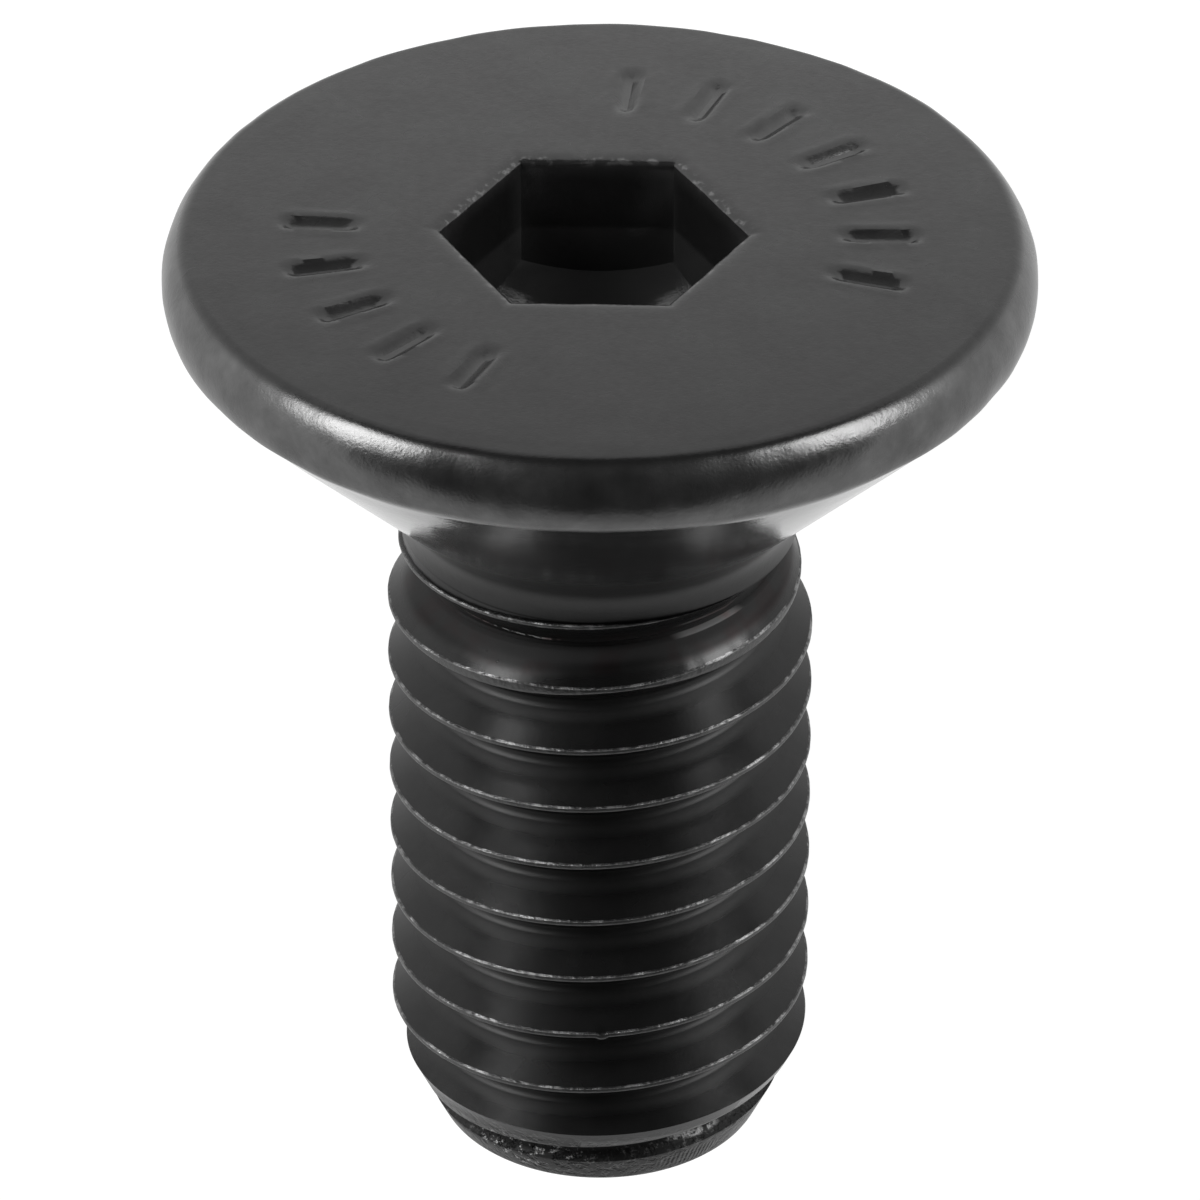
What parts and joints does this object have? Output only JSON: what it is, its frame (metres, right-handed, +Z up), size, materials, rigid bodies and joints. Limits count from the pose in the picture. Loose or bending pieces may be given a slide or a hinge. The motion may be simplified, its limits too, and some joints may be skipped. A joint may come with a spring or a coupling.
{
  "type": "countersunk hexagon socket screw",
  "caption": "Short black countersunk machine screw with a hexagon socket and a fully threaded shank, for holding down a cleat.",
  "frame": {"origin": "on the surface the screw lies on, under the middle of its bounding box", "axes": "+Z up from the surface. The screw lies on its side in the YZ plane, its head towards -Y and its tip towards +Y, touching at the rim of the head and at a thread crest near the tip, so its axis dips 14.0 degrees towards the tip. -Y is the side that the socket faces."},
  "size_m": [0.01, 0.0132, 0.0097],
  "materials": {
    "black_oxide_steel": "satin black oxide with bare bright wear on the thread crests"
  },
  "bodies": {
    "root": {"screw": "black_oxide_steel"}
  },
  "joints": []
}
